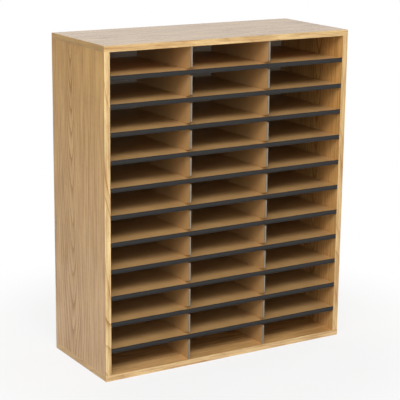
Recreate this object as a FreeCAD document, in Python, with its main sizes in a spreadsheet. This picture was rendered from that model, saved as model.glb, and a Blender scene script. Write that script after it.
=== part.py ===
import FreeCAD, Part
import math
import os
from collections import namedtuple

import Sketcher
from FreeCAD import Rotation, Vector

# Pigeonhole mail sorter: a laminated board casing, twelve rows of three letter-size compartments.
#
# Frame: millimetres, +X to the right seen from the front, +Y to the back, +Z up.
# Origin: centre of the footprint, on the surface that the sorter stands on.
# Every body's own frame has y = 0 on the casing's front plane, so its Placement carries half the depth.

# ------------------------------------------------------------------------------------------------
# Driving dimensions, in millimetres (the two counts are plain numbers)
# ------------------------------------------------------------------------------------------------
SIZES = {
    # casing
    "casing_width": 746.0,          # outside, 29 3/8 in
    "casing_depth": 298.5,          # outside, 11 3/4 in
    "casing_height": 876.3,         # outside, 34 1/2 in
    "board_thickness": 15.9,        # top, bottom and sides, 5/8 in
    "band_thickness": 1.0,          # edge banding on the front edges and on the panel ends
    "band_rounding": 0.5,           # rounding of the banding's front edges
    # back panel and its nails
    "back_thickness": 4.0,
    "back_recess": 1.0,             # from the boards' rear edges in to the back panel
    "back_lap": 7.0,                # how far the rebate is cut into each board
    "back_clearance": 0.5,          # between the back panel and the rebate's wall, all round
    "nail_diameter": 1.6,
    "nail_length": 18.0,
    "nail_head_diameter": 4.0,
    "nail_head_height": 0.8,
    "nail_hole_clearance": 0.1,     # on the diameter
    "nail_end_clearance": 0.5,      # past the nail's point
    "nail_margin": 45.0,            # from a corner of the inside to the first nail
    # corner dowels
    "dowel_diameter": 8.0,
    "dowel_in_panel": 10.0,         # length held by the top or bottom panel
    "dowel_in_side": 20.0,          # length held by the side panel
    "dowel_chamfer": 0.8,
    "dowel_hole_clearance": 0.1,    # on the diameter
    "dowel_end_clearance": 0.5,     # past each end of the dowel
    "dowel_margin": 45.0,           # from the front plane and the rear plane to the outer dowels
    # rows and columns
    "row_count": 12,
    "column_count": 3,
    # shelves
    "shelf_thickness": 6.0,
    "shelf_end_clearance": 0.5,     # between each end of a shelf and the side panel
    "shelf_back_gap": 1.0,          # between a shelf and the back panel
    "lap_gap": 1.0,                 # between the closed ends of a shelf's slot and a divider's slot
    "slot_lead": 4.0,               # widening of the shelf slot at the shelf's rear edge
    "kerf_height": 2.2,             # groove in the shelf's front edge for the moulding's tongue
    "kerf_depth": 9.5,
    # mouldings (label holders) on the shelves' front edges
    "moulding_height": 11.5,
    "moulding_depth": 2.9,
    "moulding_setback": 0.3,        # from the casing's front plane back to the moulding
    "moulding_lip_above": 2.0,      # how far the moulding stands above the shelf's upper face
    "moulding_end_clearance": 0.4,
    "moulding_rounding": 0.5,
    "label_lip_height": 1.7,        # rails that hold a label, top and bottom
    "label_lip_thickness": 0.8,
    "label_slot_thickness": 0.6,
    "label_slot_inset": 0.8,        # depth of plastic above and below the label slot
    "tongue_thickness": 1.4,
    "tongue_length": 8.5,
    "tongue_barb": 0.3,
    "tongue_barb_length": 2.0,
    # dividers
    "divider_thickness": 3.2,
    "divider_groove_depth": 4.0,    # grooves in the top and bottom panels
    "divider_groove_clearance": 0.1,
    "divider_end_clearance": 0.4,   # between the divider's ends and the bottoms of the grooves
    "divider_back_gap": 0.5,
    "slot_clearance": 0.4,          # each side of a shelf in a divider's slot, and the reverse
    "mouth_rise": 7.6,              # widening of the divider's slot at its front edge, each way
    "mouth_depth": 24.0,
    # trims on the dividers' front edges
    "trim_gap": 0.3,                # behind the moulding's rear face
    "trim_wall": 0.5,
    "trim_flange": 3.4,             # overall, front to back
    "trim_end_clearance": 0.2,      # at the top and bottom panels
    "trim_edge_rounding": 0.4,      # along the channel's two front edges
    "trim_end_rounding": 1.6,       # of each trim's front corners, seen from the side
    # shelf supports
    "support_inset": 40.0,          # from the front plane, and from the back panel, to the support's middle
    "support_width": 7.0,
    "support_reach": 8.0,
    "support_height": 8.0,
    "support_nose": 2.5,
    "peg_diameter": 5.0,
    "peg_length": 9.5,
    "peg_hole_clearance": 0.1,      # on the diameter
    "peg_end_clearance": 0.5,
}

ROWS = int(SIZES["row_count"])
COLUMNS = int(SIZES["column_count"])
SHELVES = ROWS - 1
DIVIDERS = COLUMNS - 1
NAILS_PER_SIDE = 6
NAILS_PER_PANEL = 5
DOWELS_PER_CORNER = 3
LEFT, RIGHT = -1, 1
CUT_MARGIN = "1"                    # how far a cutting outline runs past the face it opens
CLOSE = 0.01                        # two places nearer than this are the same place

# Places that follow from the driving dimensions. Those along Y are counted from the front plane.
FRONT = "Sizes.band_thickness"
REAR = "Sizes.casing_depth"
HALF_WIDTH = "(Sizes.casing_width / 2)"
HALF_INSIDE = f"({HALF_WIDTH} - Sizes.board_thickness)"
FLOOR = "Sizes.board_thickness"
CEILING = "(Sizes.casing_height - Sizes.board_thickness)"
BACK_FACE = "(Sizes.casing_depth - Sizes.back_recess - Sizes.back_thickness)"
BACK_HALF_WIDTH = f"({HALF_INSIDE} + Sizes.back_lap)"
SHELF_FRONT = "(Sizes.moulding_setback + Sizes.moulding_depth)"
SHELF_REAR = f"({BACK_FACE} - Sizes.shelf_back_gap)"
LIP_BELOW = "(Sizes.moulding_height - Sizes.moulding_lip_above - Sizes.shelf_thickness)"
ROW_OPENING = f"(({CEILING} - {FLOOR} - {SHELVES} * Sizes.moulding_height) / Sizes.row_count)"
ROW_PITCH = f"({ROW_OPENING} + Sizes.moulding_height)"
FIRST_SHELF = f"({FLOOR} + {ROW_OPENING} + {LIP_BELOW})"
COLUMN_PITCH = f"((2 * {HALF_INSIDE} + Sizes.divider_thickness) / Sizes.column_count)"
TRIM_FRONT = f"({SHELF_FRONT} + Sizes.trim_gap)"
DIVIDER_FRONT = f"({TRIM_FRONT} + Sizes.trim_wall)"
DIVIDER_REAR = f"({BACK_FACE} - Sizes.divider_back_gap)"
HALF_DIVIDER = "(Sizes.divider_thickness / 2)"
LAP_MIDDLE = f"(({DIVIDER_FRONT} + {DIVIDER_REAR}) / 2)"
SLOT_MIDDLE = f"({FIRST_SHELF} + Sizes.shelf_thickness / 2)"
SLOT_HALF_HEIGHT = "(Sizes.shelf_thickness / 2 + Sizes.slot_clearance)"
MOUTH_HALF_HEIGHT = f"({SLOT_HALF_HEIGHT} + Sizes.mouth_rise)"
SUPPORT_PITCH = f"({BACK_FACE} - 2 * Sizes.support_inset)"
DOWEL_HOLE = "(Sizes.dowel_diameter + Sizes.dowel_hole_clearance)"
DOWEL_PITCH = f"(({REAR} - 2 * Sizes.dowel_margin) / {DOWELS_PER_CORNER - 1})"
SIDE_MIDDLE = f"({HALF_INSIDE} + Sizes.board_thickness / 2)"
NAIL_HOLE = "(Sizes.nail_diameter + Sizes.nail_hole_clearance)"
NAIL_DEPTH = "(Sizes.nail_length - Sizes.back_thickness + Sizes.nail_end_clearance)"
NAIL_OFFSET = "(Sizes.back_lap / 2)"
NAIL_PITCH_UP = f"(({CEILING} - {FLOOR} - 2 * Sizes.nail_margin) / {NAILS_PER_SIDE - 1})"
NAIL_PITCH_ACROSS = f"((2 * {HALF_INSIDE} - 2 * Sizes.nail_margin) / {NAILS_PER_PANEL - 1})"

Circle = namedtuple("Circle", "u v diameter")
Arc = namedtuple("Arc", "u v radius")

# Which way each origin plane's normal points along its own axis.
NORMAL = {"XY_Plane": 1, "YZ_Plane": 1, "XZ_Plane": -1}

doc = FreeCAD.newDocument("MailSorter")


# ------------------------------------------------------------------------------------------------
# Helpers
# ------------------------------------------------------------------------------------------------
def write_sheet():
    """Put every driving dimension in the spreadsheet, with its name as the alias."""
    sheet = doc.addObject("Spreadsheet::Sheet", "Sizes")
    for row, (name, value) in enumerate(SIZES.items(), start=1):
        sheet.set(f"A{row}", name)
        sheet.set(f"B{row}", str(value))
        sheet.setAlias(f"B{row}", name)
    doc.recompute()


def start_body(label, many=False):
    """Start a sub-part's body on the casing's front plane; many allows a group of separate solids."""
    body = doc.addObject("PartDesign::Body", label)
    body.Label = label
    body.AllowCompound = many
    body.setExpression(".Placement.Base.y", "-Sizes.casing_depth / 2")
    return body


def place(body, x=None, z=None):
    """Bind the body's place across and above the floor."""
    if x is not None:
        body.setExpression(".Placement.Base.x", x)
    if z is not None:
        body.setExpression(".Placement.Base.z", z)


def origin_part(body, role):
    return [part for part in body.Origin.OriginFeatures if part.Role == role][0]


def bind_point(sketch, geometry, point, u, v):
    """Hold one point of the sketch at the expressions u and v from the sketch's origin."""
    for kind, text in (("DistanceX", u), ("DistanceY", v)):
        value = float(sketch.evalExpression(text))
        index = sketch.addConstraint(Sketcher.Constraint(kind, -1, 1, geometry, point, value))
        sketch.setExpression(f"Constraints[{index}]", text)


def add_circle(sketch, circle):
    centre = Vector(float(sketch.evalExpression(circle.u)), float(sketch.evalExpression(circle.v)), 0)
    diameter = float(sketch.evalExpression(circle.diameter))
    geometry = sketch.addGeometry(Part.Circle(centre, Vector(0, 0, 1), diameter / 2), False)
    bind_point(sketch, geometry, 3, circle.u, circle.v)
    index = sketch.addConstraint(Sketcher.Constraint("Diameter", geometry, diameter))
    sketch.setExpression(f"Constraints[{index}]", circle.diameter)


def clockwise_arc(start, end, radius):
    """Arc of less than half a turn, clockwise from start to end; its own first point is at end."""
    chord = end - start
    rise = math.sqrt(radius ** 2 - chord.Length ** 2 / 4)
    centre = (start + end) / 2 + Vector(chord.y, -chord.x, 0).normalize() * rise
    angles = [math.atan2(spot.y - centre.y, spot.x - centre.x) for spot in (end, start)]
    if angles[1] < angles[0]:
        angles[1] += 2 * math.pi
    return Part.ArcOfCircle(Part.Circle(centre, Vector(0, 0, 1), radius), *angles)


def add_outline(sketch, corners):
    """Draw a closed outline: a straight line from each corner to the next, or an arc from an Arc corner."""
    spots = [Vector(float(sketch.evalExpression(corner[0])), float(sketch.evalExpression(corner[1])), 0)
             for corner in corners]
    first, count = sketch.GeometryCount, len(corners)
    near = [2 if isinstance(corner, Arc) else 1 for corner in corners]
    for index, corner in enumerate(corners):
        start, end = spots[index], spots[(index + 1) % count]
        if isinstance(corner, Arc):
            radius = float(sketch.evalExpression(corner.radius))
            sketch.addGeometry(clockwise_arc(start, end, radius), False)
            number = sketch.addConstraint(Sketcher.Constraint("Radius", first + index, radius))
            sketch.setExpression(f"Constraints[{number}]", corner.radius)
        else:
            sketch.addGeometry(Part.LineSegment(start, end), False)
    for index, corner in enumerate(corners):
        following = (index + 1) % count
        sketch.addConstraint(Sketcher.Constraint("Coincident", first + index, 3 - near[index],
                                                 first + following, near[following]))
        bind_point(sketch, first + index, near[index], corner[0], corner[1])


def draw(body, plane, outlines, offset):
    """Sketch outlines and circles on one of the body's origin planes, moved by offset along its axis."""
    sketch = body.newObject("Sketcher::SketchObject", f"{body.Label}_sketch")
    sketch.AttachmentSupport = [(origin_part(body, plane), "")]
    sketch.MapMode = "FlatFace"
    if offset is not None:
        sketch.setExpression(".AttachmentOffset.Base.z", f"{NORMAL[plane]} * {offset}")
    for outline in outlines:
        if isinstance(outline, Circle):
            add_circle(sketch, outline)
        else:
            add_outline(sketch, outline)
    return sketch


def feature(body, kind, plane, outlines, length, reverse, both, offset):
    """Add a pad or a pocket and make sure that it changed the body the right way."""
    sketch = draw(body, plane, outlines, offset)
    before = body.Shape.Volume if body.Tip else 0.0
    step = body.newObject(f"PartDesign::{kind}", f"{body.Label}_{kind.lower()}")
    step.Profile = sketch
    step.Reversed = reverse
    if both:
        step.SideType = "Symmetric"
    if length is None:
        step.Type = "ThroughAll"
    else:
        step.setExpression("Length", length)
    doc.recompute()
    change = step.Shape.Volume - before
    if (change > 0) != (kind == "Pad"):
        raise RuntimeError(f"{body.Label}: the {kind.lower()} changed the volume by {change:.3f}")
    return step


def pad(body, plane, outlines, length, towards=1, both=False, offset=None):
    return feature(body, "Pad", plane, outlines, length, towards * NORMAL[plane] < 0, both, offset)


def cut(body, plane, outlines, length=None, towards=1, both=False, offset=None):
    """Pocket towards +1 or -1 along the plane's axis; with no length it goes through everything."""
    return feature(body, "Pocket", plane, outlines, length, towards * NORMAL[plane] > 0, both, offset)


def repeat(body, steps, axis, spacing, count, whole=False):
    """Repeat steps, or with whole the body so far, count times along an axis."""
    pattern = body.newObject("PartDesign::LinearPattern", f"{body.Label}_pattern")
    if whole:
        pattern.TransformMode = "Whole shape"
    else:
        pattern.Originals = steps
    pattern.Direction = (origin_part(body, axis), [""])
    pattern.Mode = "Spacing"
    pattern.setExpression("Offset", spacing)
    pattern.Occurrences = count
    body.Tip = pattern
    doc.recompute()
    return pattern


def dress(body, kind, base, chosen, prop, text):
    """Fillet or chamfer those edges of base that the test chosen accepts."""
    names = [f"Edge{number}" for number, edge in enumerate(base.Shape.Edges, start=1) if chosen(edge)]
    step = body.newObject(f"PartDesign::{kind}", f"{body.Label}_{kind.lower()}")
    step.Base = (base, names)
    step.setExpression(prop, text)
    body.Tip = step
    doc.recompute()
    return step


def box(u_low, v_low, u_high, v_high):
    """Corner points of an upright rectangle."""
    return [(u_low, v_low), (u_high, v_low), (u_high, v_high), (u_low, v_high)]


# ------------------------------------------------------------------------------------------------
# Casing boards
# ------------------------------------------------------------------------------------------------
def horizontal_panel(label, height, upside_down):
    """Top or bottom panel. Its inner face is on z = 0 and its outer face a board's thickness above."""
    body = start_body(label)
    end = f"({HALF_WIDTH} - Sizes.band_thickness)"
    pad(body, "XY_Plane", [box(f"-{end}", FRONT, end, REAR)], "Sizes.board_thickness")
    rebate = box(f"-{BACK_HALF_WIDTH}", BACK_FACE, BACK_HALF_WIDTH, f"{REAR} + {CUT_MARGIN}")
    cut(body, "XY_Plane", [rebate], "Sizes.back_lap")

    groove_half = f"({HALF_DIVIDER} + Sizes.divider_groove_clearance)"
    first = divider_place(1)
    groove_front = f"{DIVIDER_FRONT} - Sizes.divider_end_clearance"
    groove = box(f"{first} - {groove_half}", groove_front, f"{first} + {groove_half}", BACK_FACE)
    grooves = cut(body, "XY_Plane", [groove], "Sizes.divider_groove_depth")
    repeat(body, [grooves], "X_Axis", COLUMN_PITCH, DIVIDERS)

    holes = [Circle(f"{side} * {SIDE_MIDDLE}", "Sizes.dowel_margin", DOWEL_HOLE) for side in (LEFT, RIGHT)]
    depth = "Sizes.dowel_in_panel + Sizes.dowel_end_clearance"
    repeat(body, [cut(body, "XY_Plane", holes, depth)], "Y_Axis", DOWEL_PITCH, DOWELS_PER_CORNER)

    nail = [Circle(f"-{HALF_INSIDE} + Sizes.nail_margin", NAIL_OFFSET, NAIL_HOLE)]
    nails = cut(body, "XZ_Plane", nail, NAIL_DEPTH, towards=-1, offset=BACK_FACE)
    repeat(body, [nails], "X_Axis", NAIL_PITCH_ACROSS, NAILS_PER_PANEL)

    place(body, z=height)
    if upside_down:
        body.Placement.Rotation = Rotation(Vector(0, 1, 0), 180)
    return body


def side_panel(label, side):
    """Left or right panel, standing between the bottom and top panels."""
    body = start_body(label)
    inner, outer = f"{side} * {HALF_INSIDE}", f"{side} * {HALF_WIDTH}"
    height = f"{CEILING} - {FLOOR}"
    pad(body, "XY_Plane", [box(inner, FRONT, outer, REAR)], height, offset=FLOOR)
    rebate = box(inner, BACK_FACE, f"{side} * {BACK_HALF_WIDTH}", f"{REAR} + {CUT_MARGIN}")
    cut(body, "XY_Plane", [rebate], both=True)

    hole = [Circle(f"{side} * {SIDE_MIDDLE}", "Sizes.dowel_margin", DOWEL_HOLE)]
    depth = "Sizes.dowel_in_side + Sizes.dowel_end_clearance"
    for level, towards in ((FLOOR, 1), (CEILING, -1)):
        holes = cut(body, "XY_Plane", hole, depth, towards=towards, offset=level)
        repeat(body, [holes], "Y_Axis", DOWEL_PITCH, DOWELS_PER_CORNER)

    peg_hole = "Sizes.peg_diameter + Sizes.peg_hole_clearance"
    peg_level = f"{FIRST_SHELF} - Sizes.support_height / 2"
    pegs = [Circle(run, peg_level, peg_hole) for run in support_places()]
    depth = "Sizes.peg_length + Sizes.peg_end_clearance"
    holes = cut(body, "YZ_Plane", pegs, depth, towards=side, offset=f"({inner})")
    repeat(body, [holes], "Z_Axis", ROW_PITCH, SHELVES)

    nail = [Circle(f"{side} * ({HALF_INSIDE} + {NAIL_OFFSET})", f"{FLOOR} + Sizes.nail_margin", NAIL_HOLE)]
    nails = cut(body, "XZ_Plane", nail, NAIL_DEPTH, towards=-1, offset=BACK_FACE)
    repeat(body, [nails], "Z_Axis", NAIL_PITCH_UP, NAILS_PER_SIDE)
    return body


def front_band(label, x_low, z_low, x_high, z_high):
    """Edge banding on a board's front edge, rounded along both sides."""
    body = start_body(label)
    strip = pad(body, "XZ_Plane", [box(x_low, z_low, x_high, z_high)], "Sizes.band_thickness")
    board = float(body.evalExpression("Sizes.board_thickness"))

    def runs_along_the_front(edge):
        return edge.BoundBox.YMax < CLOSE and edge.Length > board + CLOSE

    dress(body, "Fillet", strip, runs_along_the_front, "Radius", "Sizes.band_rounding")
    return body


def end_band(label, side, z_low, z_high):
    """Edge banding on an end of the top or bottom panel, rounded along both sides."""
    body = start_body(label)
    inner, outer = f"({side} * ({HALF_WIDTH} - Sizes.band_thickness))", f"({side} * {HALF_WIDTH})"
    strip = pad(body, "YZ_Plane", [box(FRONT, z_low, REAR, z_high)], "Sizes.band_thickness", towards=side,
                offset=inner)
    board, place_out = (float(body.evalExpression(text)) for text in ("Sizes.board_thickness", outer))

    def runs_along_the_end(edge):
        extent = edge.BoundBox
        on_the_outside = abs(extent.XMin - place_out) < CLOSE and abs(extent.XMax - place_out) < CLOSE
        return on_the_outside and edge.Length > board + CLOSE

    dress(body, "Fillet", strip, runs_along_the_end, "Radius", "Sizes.band_rounding")
    return body


# ------------------------------------------------------------------------------------------------
# Back panel and the hidden fasteners
# ------------------------------------------------------------------------------------------------
def nail_rows(diameter):
    """First nail of each row round the back: the upright rows and the level rows."""
    side = f"({HALF_INSIDE} + {NAIL_OFFSET})"
    lowest, leftmost = f"{FLOOR} + Sizes.nail_margin", f"-{HALF_INSIDE} + Sizes.nail_margin"
    upright = [Circle(f"{hand} * {side}", lowest, diameter) for hand in (LEFT, RIGHT)]
    level = [Circle(leftmost, height, diameter)
             for height in (f"{FLOOR} - {NAIL_OFFSET}", f"{CEILING} + {NAIL_OFFSET}")]
    return upright, level


def back_panel():
    """Fibreboard back, let into the rebate of the four boards."""
    body = start_body("back_panel")
    half = f"({BACK_HALF_WIDTH} - Sizes.back_clearance)"
    low = f"{FLOOR} - Sizes.back_lap + Sizes.back_clearance"
    high = f"{CEILING} + Sizes.back_lap - Sizes.back_clearance"
    pad(body, "XZ_Plane", [box(f"-{half}", low, half, high)], "Sizes.back_thickness", offset=BACK_FACE)
    upright, level = nail_rows(NAIL_HOLE)
    repeat(body, [cut(body, "XZ_Plane", upright, both=True)], "Z_Axis", NAIL_PITCH_UP, NAILS_PER_SIDE)
    repeat(body, [cut(body, "XZ_Plane", level, both=True)], "X_Axis", NAIL_PITCH_ACROSS, NAILS_PER_PANEL)
    return body


def back_panel_nails():
    """Flat-headed nails that hold the back panel, driven towards the front."""
    body = start_body("back_panel_nails", many=True)
    rear = "(Sizes.casing_depth - Sizes.back_recess)"
    shanks = nail_rows("Sizes.nail_diameter")
    heads = nail_rows("Sizes.nail_head_diameter")
    runs = (("Z_Axis", NAIL_PITCH_UP, NAILS_PER_SIDE), ("X_Axis", NAIL_PITCH_ACROSS, NAILS_PER_PANEL))
    for shank, head, (axis, spacing, count) in zip(shanks, heads, runs):
        driven = pad(body, "XZ_Plane", shank, "Sizes.nail_length", towards=-1, offset=rear)
        capped = pad(body, "XZ_Plane", head, "Sizes.nail_head_height", offset=rear)
        repeat(body, [driven, capped], axis, spacing, count)
    return body


def corner_dowels():
    """Glued dowels, three in each corner joint."""
    body = start_body("corner_dowels", many=True)
    pins = [Circle(f"{side} * {SIDE_MIDDLE}", "Sizes.dowel_margin", "Sizes.dowel_diameter")
            for side in (LEFT, RIGHT)]
    length = "(Sizes.dowel_in_panel + Sizes.dowel_in_side)"
    pair = pad(body, "XY_Plane", pins, length, offset=f"({FLOOR} - Sizes.dowel_in_panel)")
    dress(body, "Chamfer", pair, lambda edge: edge.Curve.TypeId == "Part::GeomCircle", "Size",
          "Sizes.dowel_chamfer")
    repeat(body, [], "Y_Axis", DOWEL_PITCH, DOWELS_PER_CORNER, whole=True)
    between = f"({CEILING} - {FLOOR} - Sizes.dowel_in_side + Sizes.dowel_in_panel)"
    repeat(body, [], "Z_Axis", between, 2, whole=True)
    return body


# ------------------------------------------------------------------------------------------------
# Dividers and their trims
# ------------------------------------------------------------------------------------------------
def divider_place(number):
    """Middle of divider 1, 2, ... across the casing."""
    return f"({number} * {COLUMN_PITCH} - {HALF_INSIDE} - {HALF_DIVIDER})"


def divider(label, number):
    """Full-height fibreboard divider with a slot for every shelf, open and widened to the front."""
    body = start_body(label)
    reach = "(Sizes.divider_groove_depth - Sizes.divider_end_clearance)"
    sheet = box(DIVIDER_FRONT, f"{FLOOR} - {reach}", DIVIDER_REAR, f"{CEILING} + {reach}")
    pad(body, "YZ_Plane", [sheet], "Sizes.divider_thickness", both=True)

    before = f"{DIVIDER_FRONT} - {CUT_MARGIN}"
    throat = f"{DIVIDER_FRONT} + Sizes.mouth_depth"
    closed = f"{LAP_MIDDLE} + Sizes.lap_gap / 2"
    steps = [(before, MOUTH_HALF_HEIGHT), (DIVIDER_FRONT, MOUTH_HALF_HEIGHT), (throat, SLOT_HALF_HEIGHT),
             (closed, SLOT_HALF_HEIGHT)]
    below = [(run, f"{SLOT_MIDDLE} - {half}") for run, half in steps]
    above = [(run, f"{SLOT_MIDDLE} + {half}") for run, half in reversed(steps)]
    slots = cut(body, "YZ_Plane", [below + above], both=True)
    repeat(body, [slots], "Z_Axis", ROW_PITCH, SHELVES)
    place(body, x=divider_place(number))
    return body


def divider_trims(label, number):
    """Channel-shaped trims on the divider's front edge, one in each row."""
    body = start_body(label, many=True)
    half = f"({HALF_DIVIDER} + Sizes.trim_wall)"
    rear = f"({TRIM_FRONT} + Sizes.trim_flange)"
    channel = [(f"-{half}", TRIM_FRONT), (half, TRIM_FRONT), (half, rear), (HALF_DIVIDER, rear),
               (HALF_DIVIDER, DIVIDER_FRONT), (f"-{HALF_DIVIDER}", DIVIDER_FRONT),
               (f"-{HALF_DIVIDER}", rear), (f"-{half}", rear)]
    low = f"({FLOOR} + Sizes.trim_end_clearance)"
    high = f"({CEILING} - Sizes.trim_end_clearance)"
    strip = pad(body, "XY_Plane", [channel], f"{high} - {low}", offset=low)
    front = float(body.evalExpression(TRIM_FRONT))

    def runs_up_the_front(edge):
        return edge.BoundBox.YMax < front + CLOSE and edge.BoundBox.XLength < CLOSE

    dress(body, "Fillet", strip, runs_up_the_front, "Radius", "Sizes.trim_edge_rounding")

    before, behind = f"{TRIM_FRONT} - {CUT_MARGIN}", f"{rear} + {CUT_MARGIN}"
    radius = "Sizes.trim_end_rounding"
    turned = f"{TRIM_FRONT} + {radius}"
    below, above = f"{SLOT_MIDDLE} - {MOUTH_HALF_HEIGHT}", f"{SLOT_MIDDLE} + {MOUTH_HALF_HEIGHT}"
    gap = [(before, f"{below} - {radius}"), Arc(TRIM_FRONT, f"{below} - {radius}", radius),
           (turned, below), (behind, below), (behind, above), Arc(turned, above, radius),
           (TRIM_FRONT, f"{above} + {radius}"), (before, f"{above} + {radius}")]
    repeat(body, [cut(body, "YZ_Plane", [gap], both=True)], "Z_Axis", ROW_PITCH, SHELVES)
    place(body, x=divider_place(number))
    return body


# ------------------------------------------------------------------------------------------------
# Shelves, mouldings and shelf supports
# ------------------------------------------------------------------------------------------------
def shelf_height(number):
    """Underside of shelf 1, 2, ... counted from the bottom."""
    return f"{FIRST_SHELF} + {number - 1} * {ROW_PITCH}"


def shelf(label, number):
    """Fibreboard shelf: slots for the dividers from its rear edge, a kerf along its front edge."""
    body = start_body(label)
    half = f"({HALF_INSIDE} - Sizes.shelf_end_clearance)"
    slot_half = f"({HALF_DIVIDER} + Sizes.slot_clearance)"
    closed = f"{LAP_MIDDLE} - Sizes.lap_gap / 2"
    lead = f"{SHELF_REAR} - 2 * Sizes.slot_lead"
    outline = [(f"-{half}", SHELF_FRONT), (half, SHELF_FRONT), (half, SHELF_REAR)]
    for index in range(DIVIDERS, 0, -1):
        middle = divider_place(index)
        right, left = f"{middle} + {slot_half}", f"{middle} - {slot_half}"
        outline += [(f"{right} + Sizes.slot_lead", SHELF_REAR), (right, lead), (right, closed),
                    (left, closed), (left, lead), (f"{left} - Sizes.slot_lead", SHELF_REAR)]
    outline.append((f"-{half}", SHELF_REAR))
    pad(body, "XY_Plane", [outline], "Sizes.shelf_thickness")

    middle = "(Sizes.shelf_thickness / 2)"
    kerf = box(f"{SHELF_FRONT} - {CUT_MARGIN}", f"{middle} - Sizes.kerf_height / 2",
               f"{SHELF_FRONT} + Sizes.kerf_depth", f"{middle} + Sizes.kerf_height / 2")
    cut(body, "YZ_Plane", [kerf], both=True)
    place(body, z=shelf_height(number))
    return body


def moulding(label, number):
    """Plastic label-holder moulding, pressed on to the shelf's front edge by a barbed tongue."""
    body = start_body(label)
    low, high = f"-{LIP_BELOW}", "(Sizes.shelf_thickness + Sizes.moulding_lip_above)"
    front, rear = "Sizes.moulding_setback", SHELF_FRONT
    rounding = "Sizes.moulding_rounding"
    turned_in = f"({front} + {rounding})"
    slot_front = f"({front} + Sizes.label_lip_thickness)"
    slot_rear = f"({slot_front} + Sizes.label_slot_thickness)"
    middle = "Sizes.shelf_thickness / 2"
    neck = "Sizes.tongue_thickness / 2"
    barb = f"({neck} + Sizes.tongue_barb)"
    tip = f"({rear} + Sizes.tongue_length)"
    shoulder = f"({tip} - Sizes.tongue_barb_length)"
    profile = [
        Arc(turned_in, low, rounding), (front, f"{low} + {rounding}"),
        (front, f"{low} + Sizes.label_lip_height"), (slot_front, f"{low} + Sizes.label_lip_height"),
        (slot_front, f"{low} + Sizes.label_slot_inset"), (slot_rear, f"{low} + Sizes.label_slot_inset"),
        (slot_rear, f"{high} - Sizes.label_slot_inset"), (slot_front, f"{high} - Sizes.label_slot_inset"),
        (slot_front, f"{high} - Sizes.label_lip_height"), (front, f"{high} - Sizes.label_lip_height"),
        Arc(front, f"{high} - {rounding}", rounding), (turned_in, high), (rear, high),
        (rear, f"{middle} + {neck}"), (shoulder, f"{middle} + {neck}"), (shoulder, f"{middle} + {barb}"),
        (tip, f"{middle} + {neck} / 2"), (tip, f"{middle} - {neck} / 2"), (shoulder, f"{middle} - {barb}"),
        (shoulder, f"{middle} - {neck}"), (rear, f"{middle} - {neck}"), (rear, low),
    ]
    length = f"2 * ({HALF_INSIDE} - Sizes.moulding_end_clearance)"
    pad(body, "YZ_Plane", [profile], length, both=True)
    place(body, z=shelf_height(number))
    return body


def support_places():
    """Middles of the front and rear supports, from the front plane."""
    return "Sizes.support_inset", f"Sizes.support_inset + {SUPPORT_PITCH}"


def shelf_supports(label, side):
    """Wedge-shaped supports on pegs, a front and a rear one under each shelf end."""
    body = start_body(label, many=True)
    inner = f"{side} * {HALF_INSIDE}"
    top = f"({FIRST_SHELF})"
    low = f"({top} - Sizes.support_height)"
    reach = f"{side} * ({HALF_INSIDE} - Sizes.support_reach)"
    foot = f"{side} * ({HALF_INSIDE} - Sizes.support_nose)"
    wedge = [(inner, low), (foot, low), (reach, f"{top} - Sizes.support_nose"), (reach, top), (inner, top)]
    start = "(Sizes.support_inset - Sizes.support_width / 2)"
    pad(body, "XZ_Plane", [wedge], "Sizes.support_width", offset=start)
    peg = Circle("Sizes.support_inset", f"{top} - Sizes.support_height / 2", "Sizes.peg_diameter")
    pad(body, "YZ_Plane", [peg], "Sizes.peg_length", towards=side, offset=f"({inner})")
    repeat(body, [], "Y_Axis", SUPPORT_PITCH, 2, whole=True)
    repeat(body, [], "Z_Axis", ROW_PITCH, SHELVES, whole=True)
    return body


# ------------------------------------------------------------------------------------------------
# The whole sorter
# ------------------------------------------------------------------------------------------------
def build():
    """Make every sub-part and return the bodies in the order of their files."""
    top_low, top_high = CEILING, "Sizes.casing_height"
    bodies = [
        horizontal_panel("top_panel", CEILING, upside_down=False),
        horizontal_panel("bottom_panel", FLOOR, upside_down=True),
        side_panel("left_side_panel", LEFT),
        side_panel("right_side_panel", RIGHT),
        front_band("top_front_band", f"-{HALF_WIDTH}", top_low, HALF_WIDTH, top_high),
        front_band("bottom_front_band", f"-{HALF_WIDTH}", "0", HALF_WIDTH, FLOOR),
        front_band("left_front_band", f"-{HALF_WIDTH}", FLOOR, f"-{HALF_INSIDE}", CEILING),
        front_band("right_front_band", HALF_INSIDE, FLOOR, HALF_WIDTH, CEILING),
        end_band("top_left_end_band", LEFT, top_low, top_high),
        end_band("top_right_end_band", RIGHT, top_low, top_high),
        end_band("bottom_left_end_band", LEFT, "0", FLOOR),
        end_band("bottom_right_end_band", RIGHT, "0", FLOOR),
        back_panel(),
        back_panel_nails(),
        corner_dowels(),
        shelf_supports("left_shelf_supports", LEFT),
        shelf_supports("right_shelf_supports", RIGHT),
    ]
    for number in range(1, DIVIDERS + 1):
        bodies.append(divider(f"divider_{number}", number))
        bodies.append(divider_trims(f"divider_{number}_trims", number))
    for number in range(1, SHELVES + 1):
        bodies.append(shelf(f"shelf_{number:02d}", number))
        bodies.append(moulding(f"shelf_moulding_{number:02d}", number))
    doc.recompute()
    return bodies


def check(bodies):
    """Stop with a plain message if anything in the document failed."""
    for thing in doc.Objects:
        if "Invalid" in thing.State or "Error" in thing.State:
            raise RuntimeError(f"{thing.Label} failed: {thing.State}")
    for body in bodies:
        if body.Shape.isNull() or not body.Shape.isValid() or not body.Shape.Solids:
            raise RuntimeError(f"{body.Label} has no valid solid")


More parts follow.
